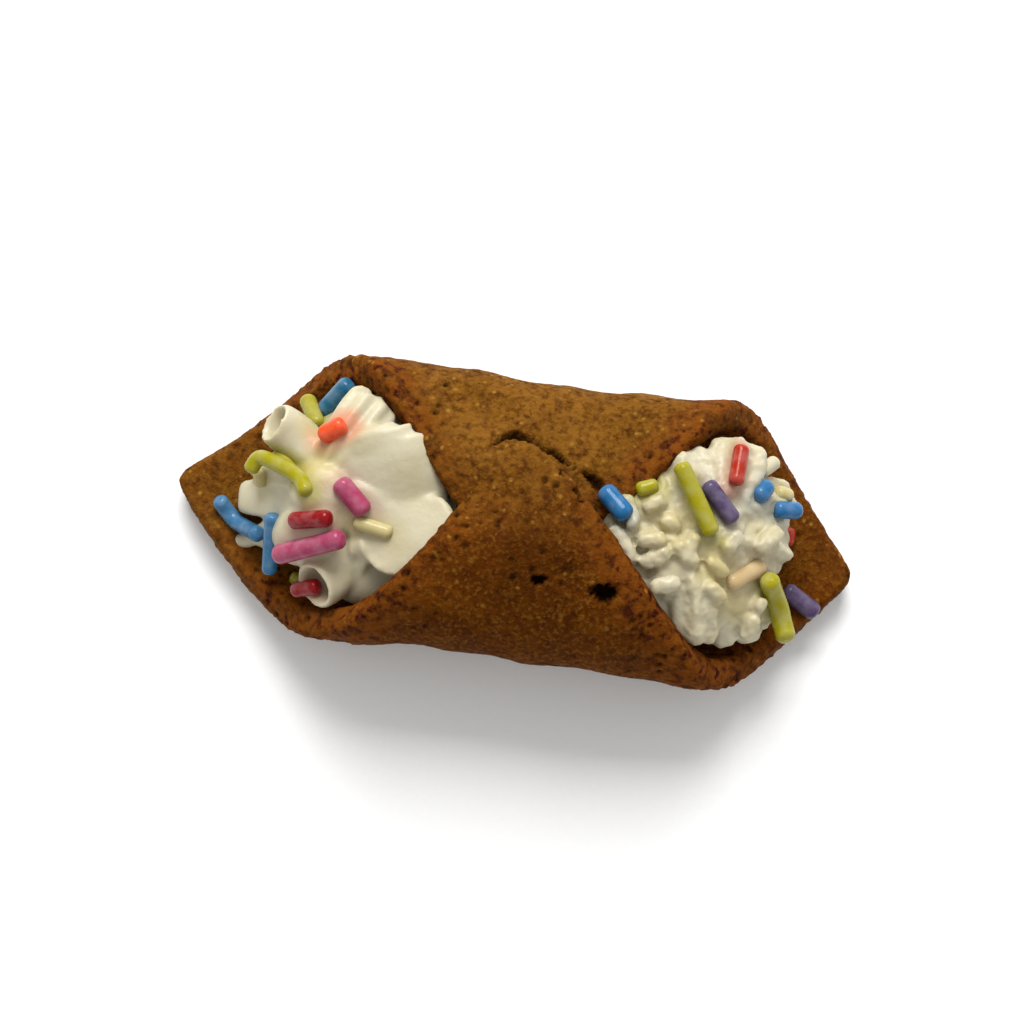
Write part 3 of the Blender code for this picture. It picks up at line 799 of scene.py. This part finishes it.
def petal(root_start, root_end, bulge, lip):
    """Points and faces of a thin petal that fans out from a short root line to a curved lip."""
    share = np.linspace(0.0, 1.0, PETAL_CELLS + 1)
    spots = np.linspace(0.0, 1.0, len(lip))
    far = np.column_stack([np.interp(share, spots, axis) for axis in zip(*lip)])
    for _ in range(2):
        far[1:-1] = 0.25 * far[:-2] + 0.5 * far[1:-1] + 0.25 * far[2:]
    near = np.asarray(root_start) + np.subtract(root_end, root_start) * share[:, None]
    outwards = share[:, None, None]
    middle = near + (far - near) * outwards
    middle[..., 2] += bulge * np.sin(math.pi * outwards[..., 0] ** 1.2)
    closing = np.sqrt((1.0 - share[:, None] ** 8) * (1.0 - (2.0 * share - 1.0) ** 12))
    half = np.zeros(middle.shape)
    half[..., 2] = 0.5 * PETAL_THICKNESS * np.maximum(closing, 0.1)
    points = np.concatenate(((middle + half).reshape(-1, 3), (middle - half).reshape(-1, 3)))
    count = (PETAL_CELLS + 1) ** 2
    above, below = border_of_grid(PETAL_CELLS, 0), border_of_grid(PETAL_CELLS, count)
    edge = np.column_stack((above, below, np.roll(below, -1), np.roll(above, -1)))
    faces = [grid_faces(PETAL_CELLS, 0, False), grid_faces(PETAL_CELLS, count, True), edge]
    return points, [tuple(face) for face in np.concatenate(faces).tolist()]


# %% [markdown]
# The left mouth's cream lies in loose petals with toothed ends, two rolled tubes that show their
# hollow ends, and tongues hanging down over the tip of the dough. The right mouth's cream stands
# as a rosette of shorter folds, most of them fluted.

# %% The folds of both ends
# Each fold: its spine from the hub to its end, its half width at three places along it, its
# thickness, how many flutes it has, and what else it shows.
LEFT_FOLDS = [
    (((-20, 2.2, 13.3), (-18.3, 6, 14.5), (-15.9, 10.3, 13.2)), (1.8, 2.8, 3), 2.4, 3, {"teeth": 0.7}),
    (((-17, -4.8, 12.6), (-18, -7.8, 10.8), (-20, -10.1, 12.2)), (2.2, 2.7, 2.7), 4.5, 0, {"hollow": 2.5}),
    (((-16.5, -4.6, 14), (-15.3, -6.8, 11.5), (-16.4, -9.7, 9)), (1.5, 2, 1.8), 3, 2, {}),
    (((-20.7, 2.2, 12.6), (-23.7, 4.8, 12.1), (-26.4, 6.3, 13.2)), (2, 2.5, 2.4), 4, 0, {"hollow": 2.8}),
    (((-21.7, -1.4, 13), (-25.7, -1.2, 9), (-30.4, -1.3, 4.6)), (1.8, 2.3, 1.7), 2, 0, {"cup": 0.15}),
    (((-22, 0.7, 13.5), (-25.7, 1.7, 10), (-28.8, 1.4, 7)), (1.5, 2, 1.5), 2.4, 2, {}),
    (((-27.2, -4.9, 7), (-29.2, -5.9, 4.4), (-31.1, -5.7, 3.4)), (0.8, 0.9, 0.6), 1.2, 0, {}),
    (((-22.5, -3.9, 12), (-25.2, -4.6, 8.6), (-28.4, -5.6, 5.4)), (1.4, 1.6, 1), 1.8, 0, {}),
    (((-18.1, -3.2, 14.5), (-21.4, -4.4, 12.8), (-24.4, -6.5, 8.5)), (2, 3, 2.8), 4, 0, {}),
]
RIGHT_FOLDS = [
    (((19.3, 0.5, 14), (18, 4.6, 15), (16.2, 8.2, 13.2)), (2.5, 3.4, 3.2), 4, 2, {}),
    (((20.5, 1.7, 14), (22.1, 6.3, 14.2), (22.9, 10.6, 12.2)), (2, 3.2, 3), 3.6, 2, {}),
    (((21.6, 0.8, 14), (25.3, 3.9, 12), (29.2, 5, 7.8)), (2, 3, 2.6), 3.6, 2, {}),
    (((21.7, -0.2, 14), (25.8, 0, 11.4), (29, -0.4, 7)), (2, 2.8, 2.4), 4, 2, {}),
    (((21.3, -1.3, 14), (25, -4.4, 11.4), (28.3, -7.9, 7)), (2, 2.4, 1.8), 3.4, 0, {}),
    (((20.8, -2, 14.3), (24.2, -6, 12), (26.8, -9.8, 8)), (1.6, 1.8, 1.6), 3.4, 0, {}),
    (((19.8, -2.1, 14.6), (22.2, -6.7, 12.3), (23.8, -10.7, 8.7)), (1.6, 1.9, 1.7), 3.6, 0, {}),
    (((18.6, -2.8, 14.8), (19.8, -7, 14), (20.6, -11.3, 12.2)), (2, 2.6, 2.5), 4.2, 2, {"flute_depth": 0.22}),
    (((18.1, -1.8, 15), (16.7, -4.6, 15), (15.7, -6.6, 14)), (2, 2.4, 2.2), 3.4, 0, {}),
    (((18.5, -0.7, 15), (14.6, -1.1, 15.3), (10.5, -0.2, 14.4)), (2.2, 2.8, 2.2), 3.4, 2, {}),
    (((18.4, 0.8, 15), (15, 2.3, 15.2), (11.9, 3, 14.4)), (2, 2.4, 1.8), 3.2, 0, {}),
    (((9.2, 1.6, 14.5), (12.8, -4, 14.3), (17.6, -9.4, 12)), (1.8, 2.6, 2.2), 3.4, 2, {}),
]
# Each petal: the two ends of its root line, how far its middle bulges, and the points of its lip.
LEFT_PETALS = [
    ((-20.2, 4.6, 14.0), (-20.4, -0.6, 13.2), 1.1, [
        (-14.1, 8.0, 15.2), (-13.0, 7.4, 15.4), (-12.0, 8.2, 15.5), (-11.5, 6.8, 15.4), (-10.3, 7.4, 15.4),
        (-9.2, 5.2, 15.2), (-8.0, 3.1, 14.4), (-7.0, 0.6, 13.4), (-6.4, -2.0, 12.6),
    ]),
    ((-17.4, 0.9, 15.3), (-19.1, -2.9, 14.0), -1.3, [
        (-7.8, 0.7, 15.3), (-6.0, -1.0, 15.7), (-6.6, -3.3, 16.2), (-8.7, -5.6, 16.0),
        (-10.2, -7.7, 15.4), (-12.0, -8.5, 14.8), (-13.8, -7.9, 14.4), (-15.6, -6.2, 14.2),
    ]),
]
# The round hub behind each mouth's folds.
HUBS = [
    (((-24.2, -0.3, 12.5), (-20.2, -0.3, 12.5), (-16.2, -0.3, 12.5)), (2, 4, 2), 7, 0, {}),
    (((16, 0, 13), (20.5, 0, 13), (25, 0, 13)), (2.25, 4.5, 2.25), 7, 0, {}),
]


def joined(parts):
    points, faces, first = [], [], 0
    for part_points, part_faces in parts:
        points.append(part_points)
        faces += [tuple(first + v for v in face) for face in part_faces]
        first += len(part_points)
    return np.concatenate(points), faces


folds = [fold(*row, **extras) for *row, extras in LEFT_FOLDS + RIGHT_FOLDS + HUBS]
folds += [petal(*row) for row in LEFT_PETALS]
print(len(folds), "folds, petals and hubs")

# %% [markdown]
# Behind the folds the cream fills the roll from mouth to mouth. Its body keeps a little clear of
# the dough all round, and each end of it slopes like the mouth.

# %% The body of cream inside
BODY_HALF_LENGTH = 27.0
BODY_HALF_WIDTH = 11.7
BODY_TOP = 14.9
BODY_LAP_CUT = 2.1
BODY_BOTTOM = 3.5
BODY_END_DROP = 7.0
BODY_END_NARROWING = 0.42
BODY_ROWS = 60
BODY_SIDES = 48
CREAM_VOXEL = 0.245


def body_of_cream():
    turn = np.linspace(0.0, 2.0 * math.pi, BODY_SIDES, endpoint=False)
    flat, tall = (np.sign(wave) * np.abs(wave) ** FULLNESS for wave in (np.cos(turn), np.sin(turn)))
    points = []
    for x in np.linspace(-BODY_HALF_LENGTH, BODY_HALF_LENGTH, BODY_ROWS):
        in_lap = 1.0 - float(smoothstep(10.0, 24.0, abs(x)))
        past_mouth = float(smoothstep(15.0, BODY_HALF_LENGTH, abs(x)))
        top = BODY_TOP - BODY_LAP_CUT * in_lap - BODY_END_DROP * past_mouth
        bottom = BODY_BOTTOM + 0.8 * past_mouth
        width = BODY_HALF_WIDTH * (1.0 - BODY_END_NARROWING * past_mouth)
        middle, half = 0.5 * (top + bottom), 0.5 * (top - bottom)
        points.append(np.column_stack((np.full(BODY_SIDES, x), width * flat, middle + half * tall)))
    return np.concatenate(points), tube_faces(BODY_ROWS, BODY_SIDES)


cream = remeshed("piped_cream", *joined([*folds, body_of_cream()]), CREAM_VOXEL, 3)
print("cream:", len(cream.data.polygons), "faces")

# %% [markdown]
# The strands are short rods of coloured sugar paste. Each colour is one piece. A strand is given
# as a path seen from above, its thickness and how deep it has sunk, and its height is found by
# looking straight down on the cream and the dough. Strands that half dissolved are laid first and
# become part of the cream's own skin.

# %% Where the strands lie
SUGAR = {
    "teal": "#1F5D7C", "lime": "#968E08", "orange": "#DC4600", "pink": "#9E3A5A",
    "red": "#820C10", "blue": "#346A90", "deep_blue": "#1C6090", "yellow": "#B8AA72",
    "purple": "#4B3B5C", "red_orange": "#A02200", "white": "#BEB698", "peach": "#BCA274",
}
# Each strand: its colour, its thickness, the share of it that has sunk in, and its path.
STRANDS = [
    ("teal", 2.3, 0.1, (-22.3, 8.8), (-19.4, 12.3)),
    ("lime", 1.9, 0.2, (-24.4, 10.4), (-22.4, 7.0)),
    ("orange", 2.1, 0.4, (-21.3, 5.4), (-20.2, 6.0), (-18.9, 7.0)),
    ("lime", 1.7, 0.2, (-28.7, 0.9), (-27.9, 2.8), (-24.2, 1.5), (-22.6, 0.5), (-21.9, -1.0)),
    ("lime", 1.4, 0.3, (-26.2, 3.4), (-23.6, 1.2)),
    ("yellow", 1.5, 0.3, (-28.1, 1.6), (-27.6, -0.2)),
    ("pink", 2.2, 0.4, (-18.8, 0.9), (-15.5, -2.2)),
    ("red", 1.9, 0.3, (-23.4, -3.9), (-18.9, -3.2)),
    ("pink", 2.2, 0.3, (-24.8, -7.6), (-17.4, -5.1)),
    ("blue", 1.8, 0.3, (-32.7, -1.8), (-30.8, -3.9), (-27.3, -5.4)),
    ("blue", 1.7, 0.3, (-25.8, -3.1), (-25.7, -9.4)),
    ("red", 1.8, 0.3, (-22.7, -10.9), (-19.7, -10.2)),
    ("lime", 1.5, 0.4, (-23.7, -9.3), (-22.2, -9.7)),
    ("yellow", 1.6, 0.5, (-16.7, -3.1), (-12.5, -3.9)),
    ("deep_blue", 2.2, 0.2, (8.8, 3.4), (11.7, 0.6)),
    ("lime", 1.6, 0.3, (12.3, 3.7), (14.5, 4.6)),
    ("lime", 1.9, 0.2, (16.4, 6.9), (20.7, 0.0)),
    ("purple", 1.9, 0.3, (19.4, 5.4), (22.9, 1.7)),
    ("red_orange", 1.7, 0.3, (22.8, 9.9), (22.5, 5.5)),
    ("white", 1.6, 0.62, (25.3, 7.6), (27.1, 9.3)),
    ("deep_blue", 2.0, 0.1, (25.1, 4.6), (26.3, 6.5)),
    ("deep_blue", 1.9, 0.15, (27.3, 3.9), (30.3, 4.3)),
    ("yellow", 1.6, 0.4, (27.3, 5.9), (29.2, 5.7)),
    ("red_orange", 1.8, 0.0, (30.0, 3.0), (29.9, 0.8)),
    ("lime", 2.2, -0.45, (27.4, -3.5), (29.3, -6.2), (30.6, -9.7)),
    ("purple", 2.1, 0.1, (30.3, -3.8), (34.2, -6.2)),
    ("peach", 1.9, 0.55, (23.1, -4.8), (26.8, -2.1)),
]
# Pale strands that half dissolved in the right mouth's cream: the same without a colour.
MELTED = [
    (1.7, 0.25, (10.2, -0.3), (13.1, -4.0)),
    (1.8, 0.15, (13.5, -4.0), (16.6, -2.2)),
    (1.8, 0.15, (14.8, -6.4), (18.0, -5.2)),
    (1.6, 0.25, (11.3, 3.1), (12.6, -0.4)),
    (1.6, 0.2, (12.9, -1.7), (15.9, -1.0)),
    (1.7, 0.2, (15.1, 1.3), (17.3, 0.1)),
    (1.6, 0.2, (13.2, 1.8), (15.4, 3.1)),
    (1.7, 0.2, (19.1, 0.1), (18.0, -3.2)),
    (1.6, 0.2, (20.4, -2.4), (22.8, -3.9)),
    (1.7, 0.2, (16.9, -1.2), (19.6, -3.4)),
    (1.7, 0.2, (21.8, -1.4), (23.8, 0.6)),
    (1.9, 0.2, (25.8, -0.9), (28.0, 1.9)),
    (1.7, 0.2, (20.9, -5.0), (22.9, -6.6)),
    (2.0, 0.05, (26.2, -6.1), (27.6, -6.6)),
    (1.7, 0.2, (26.6, -7.4), (25.8, -10.1)),
]
STRAND_STEP = 0.25
BRIDGED_SHARE = 0.7
STEEPEST = 0.55
ABOVE_ALL = 60.0
OPEN_FLOOR = 4.0
SPECK = 200


def even_path(corners):
    """Evenly spaced points along a rounded path through the corners."""
    corners = np.asarray(corners, float)
    lengths = np.concatenate(([0.0], np.cumsum(np.hypot(*np.diff(corners, axis=0).T))))
    count = max(4, int(lengths[-1] / STRAND_STEP))
    shares = np.linspace(0.0, lengths[-1], count)
    path = np.column_stack([np.interp(shares, lengths, corners[:, axis]) for axis in (0, 1)])
    for _ in range(count // 3 if len(corners) > 2 else 0):
        path[1:-1] = 0.25 * path[:-2] + 0.5 * path[1:-1] + 0.25 * path[2:]
    return path


def surface_tree(objects):
    points, faces, first = [], [], 0
    for obj in objects:
        points += [tuple(v.co / MM) for v in obj.data.vertices]
        faces += [[first + v for v in face.vertices] for face in obj.data.polygons]
        first = len(points)
    return BVHTree.FromPolygons(points, faces)


def laid_path(ground, corners, thickness, sunk):
    """The path of a strand's middle line, laid on what is below it and bent only gently."""
    path = even_path(corners)
    heights = []
    for x, y in path:
        hit = ground.ray_cast((x, y, ABOVE_ALL), (0.0, 0.0, -1.0))[0]
        heights.append(hit.z if hit else OPEN_FLOOR)
    heights = np.array(heights)
    line = np.linspace(-1.0, 1.0, len(heights))
    bends = 1 if len(corners) == 2 else 2
    fit = np.polynomial.polynomial.polyval(line, np.polynomial.polynomial.polyfit(line, heights, bends))
    rise, run = fit[-1] - fit[0], float(np.hypot(*(path[-1] - path[0])))
    fit -= 0.5 * line * (rise - float(np.clip(rise, -STEEPEST * run, STEEPEST * run)))
    fit += BRIDGED_SHARE * (heights - fit).max()
    return np.column_stack((path, fit + thickness * (0.5 - sunk)))


def without_specks(obj):
    """Deletes the tiny islands, of fewer points than SPECK, that a remesh leaves in narrow gaps."""
    shape = bmesh.new()
    shape.from_mesh(obj.data)
    unseen = set(shape.verts)
    specks = []
    while unseen:
        island = [unseen.pop()]
        for point in island:
            near = {edge.other_vert(point) for edge in point.link_edges} & unseen
            unseen -= near
            island.extend(near)
        if len(island) < SPECK:
            specks += island
    bmesh.ops.delete(shape, geom=specks, context="VERTS")
    shape.to_mesh(obj.data)
    shape.free()
    return obj


def with_melted_strands(cream, ground):
    """The cream with the half dissolved strands grown into its skin."""
    lumps = [(vertex_array(cream.data), [tuple(face.vertices) for face in cream.data.polygons])]
    for thick, sunk, start, end in MELTED:
        path = laid_path(ground, (start, end), thick, sunk)
        lumps.append(fold(path[[0, len(path) // 2, -1]], (0.4 * thick, 0.5 * thick, 0.4 * thick), thick))
    bpy.data.objects.remove(cream)
    return without_specks(remeshed("piped_cream", *joined(lumps), CREAM_VOXEL, 1))


cream = with_melted_strands(cream, surface_tree([cream, shell]))
ground = surface_tree([cream, shell])
strand_paths = [
    (colour, thick, laid_path(ground, path, thick, sunk)) for colour, thick, sunk, *path in STRANDS
]
print(len(strand_paths), "strands in", len(SUGAR), "colours, and", len(MELTED), "half dissolved ones")

# %% [markdown]
# Geometry Nodes turn each middle line into a round rod. Sugar paste is cut into lengths and then
# polished, so both ends stay flat, and only their edges are rounded along a quarter circle.

# %% Rods from lines
def rod_recipe():
    recipe = Recipe("rod", **{"Step": 0.1 * MM, "Sides": 18, "Rounded Length": 0.75, "Flat End": 0.32})
    size, tree = recipe.inputs, recipe.tree
    line = recipe.add("GeometryNodeMeshToCurve", {0: size["Geometry"]}).outputs[0]
    even = recipe.add("GeometryNodeResampleCurve", {"Curve": line, "Length": size["Step"]}, mode="LENGTH")
    radius = recipe.attribute("radius_here")
    passed = recipe.add("GeometryNodeSplineParameter").outputs["Length"]
    whole = recipe.add("GeometryNodeSplineLength").outputs["Length"]
    to_end = math_of(tree, "MINIMUM", passed, recipe.minus(whole, passed))
    share = math_of(tree, "MINIMUM", recipe.over(to_end, recipe.times(radius, size["Rounded Length"])), 1.0)
    missing = recipe.minus(1.0, share)
    dome = math_of(tree, "SQRT", recipe.minus(1.0, recipe.times(missing, missing)))
    rounded_part = recipe.times(dome, recipe.minus(1.0, size["Flat End"]))
    wanted = recipe.times(radius, recipe.plus(size["Flat End"], rounded_part))
    ring = recipe.add("GeometryNodeCurvePrimitiveCircle", {"Resolution": size["Sides"], "Radius": 1.0})
    sweep = {"Curve": even.outputs[0], "Profile Curve": ring.outputs[0], "Scale": wanted, "Fill Caps": True}
    rod = recipe.add("GeometryNodeCurveToMesh", sweep).outputs[0]
    clean = recipe.add("GeometryNodeMergeByDistance", {"Geometry": rod, "Distance": 0.004 * MM})
    recipe.end(clean.outputs[0])
    return recipe


def lines_object(name, paths):
    points, edges, radii, first = [], [], [], 0
    for thickness, path in paths:
        points.append(path)
        radii += [0.5 * thickness * MM] * len(path)
        edges += [(first + i, first + i + 1) for i in range(len(path) - 1)]
        first += len(path)
    mesh = bpy.data.meshes.new(name)
    mesh.from_pydata((np.concatenate(points) * MM).tolist(), edges, [])
    store(mesh, "radius_here", radii)
    return placed(name, mesh)


# %% [markdown]
# **Coloured sugar glaze** is a smooth, slightly see-through shell on a pressed sugar rod: sharp
# long highlights run along each strand, and light that enters it comes out softened by its dye.
# The dye is a little uneven along each rod.

# %% Coloured sugar glaze
def sugar_material(name, hex_colour):
    gloss = {"Roughness": 0.25, "IOR": 1.5, "Specular_IOR_Level": 0.1}
    coat = {"Coat_Weight": 0.22, "Coat_Roughness": 0.05}
    depth = {"Subsurface_Weight": 0.06, "Subsurface_Radius": (0.8, 0.5, 0.4), "Subsurface_Scale": 0.5 * MM}
    material, tree, shader, place = new_material("sugar_glaze_" + name, **gloss, **coat, **depth)
    patches = noise_of(tree, place, 1.3, 3.0)
    pale = tinted(tree, 0.07, hex_colour, "#FFFFFF")
    colour = tinted(tree, spread(tree, patches, 0.4, 0.7), hex_colour, pale)
    tree.links.new(colour, shader.inputs["Base Color"])
    add_bump(tree, shader, patches, 0.35, 0.1)
    return material


rods = rod_recipe()
for colour_name, hex_colour in SUGAR.items():
    own = [(thick, path) for colour, thick, path in strand_paths if colour == colour_name]
    piece = lines_object("strands_" + colour_name, own)
    rods.apply_to(piece, sugar_material(colour_name, hex_colour))
    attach(piece, "root")
    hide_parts("cream")
    print(piece.name, len(own), "strands,", len(piece.data.polygons), "faces")

# %% [markdown]
# The dye bleeds into the wet cream round each strand. Every point of the cream gets a tint: its
# own pale yellow far from the strands, and more of a strand's colour the nearer that strand is.

# %% Dye in the cream
DYE_REACH = 1.7
DYE_STRENGTH = {"orange": 0.45, "lime": 0.6, "pink": 0.3, "red": 0.45, "red_orange": 0.5, "yellow": 0.35}
DYE_USUAL = 0.22
CREAM = "#C2BA9E"
STAIN = "#B4A040"
# Places where strands melted away and left a wide stain: x, y, reach and strength.
STAINS = [
    (-21.0, 2.2, 3.4, 0.5),
    (-22.4, 6.6, 2.6, 0.3),
    (21.4, -3.2, 3.6, 0.45),
    (24.0, -6.6, 3.0, 0.35),
    (16.0, 0.0, 4.6, 0.35),
]


def tint_of_cream(points):
    tint = np.tile(linear(CREAM), (len(points), 1))
    for colour, thickness, path in strand_paths:
        near = tree_of(path)
        reach = 0.5 * thickness + DYE_REACH
        low, high = path.min(axis=0) - reach, path.max(axis=0) + reach
        strength = DYE_STRENGTH.get(colour, DYE_USUAL)
        dye = np.array(linear(SUGAR[colour]))
        for index in np.nonzero(((points > low) & (points < high)).all(axis=1))[0]:
            distance = near.find(points[index])[2]
            share = strength * (1.0 - float(smoothstep(0.4 * thickness, reach, distance)))
            tint[index] += (dye - tint[index]) * share
    for x, y, reach, strength in STAINS:
        distances = np.hypot(points[:, 0] - x, points[:, 1] - y)
        share = strength * (1.0 - smoothstep(0.2 * reach, reach, distances))
        tint += (np.array(linear(STAIN)) - tint) * share[:, None]
    return tint


store(cream.data, "tint", tint_of_cream(vertex_array(cream.data)), "FLOAT_COLOR")
print("cream tinted round", len(strand_paths), "strands")

# %% [markdown]
# Whipped cream sets with an uneven surface. Geometry Nodes add lumps and a fine grain over the
# folds: in full at the right mouth, where the cream has broken into crumbs, and faintly at the left.

# %% The cream's relief
def cream_recipe():
    lumps = {"Lump Size": 1.7, "Lump Height": 0.42, "Grain Size": 0.7, "Grain Height": 0.15}
    recipe = Recipe("cream surface", **lumps, **{"Left Share": 0.16})
    size = recipe.inputs
    lump = recipe.times(recipe.swell("Lump Size", 2.0), size["Lump Height"])
    grain = recipe.times(recipe.swell("Grain Size", 2.0), size["Grain Height"])
    share = spread(recipe.tree, recipe.place()[0], -5.0 * MM, 5.0 * MM, size["Left Share"])
    recipe.raise_skin(size["Geometry"], recipe.times(recipe.plus(lump, grain), share))
    return recipe


# %% [markdown]
# **Whipped cream** is fat and air in water: light goes in and scatters back out warm and soft, so
# shadows in its folds glow a little, and the skin has a dull sheen of fat with tiny pores.

# %% Whipped cream
def cream_material():
    depth = {"Subsurface_Weight": 0.3, "Subsurface_Radius": (1.0, 0.7, 0.4), "Subsurface_Scale": 1.0 * MM}
    material, tree, shader, place = new_material("whipped_cream", Roughness=0.42, IOR=1.45, **depth)
    tint = add_node(tree, "ShaderNodeAttribute", attribute_name="tint").outputs["Color"]
    cloud = spread(tree, noise_of(tree, place, 4.0, 3.0), 0.4, 0.7, 0.0, 0.35)
    inputs = {0: cloud, 6: tint, 7: linear("#E2D6A8")}
    deeper = add_node(tree, "ShaderNodeMix", inputs, data_type="RGBA", blend_type="MULTIPLY")
    tree.links.new(deeper.outputs[2], shader.inputs["Base Color"])
    fine = noise_of(tree, place, 0.5, 3.0)
    tree.links.new(spread(tree, fine, 0.3, 0.7, 0.34, 0.5), shader.inputs["Roughness"])
    add_bump(tree, shader, fine, 0.35, 0.1)
    return material


cream_recipe().apply_to(cream, cream_material())
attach(cream, "root")
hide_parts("cream")
print("cream with relief:", len(cream.data.polygons), "faces")
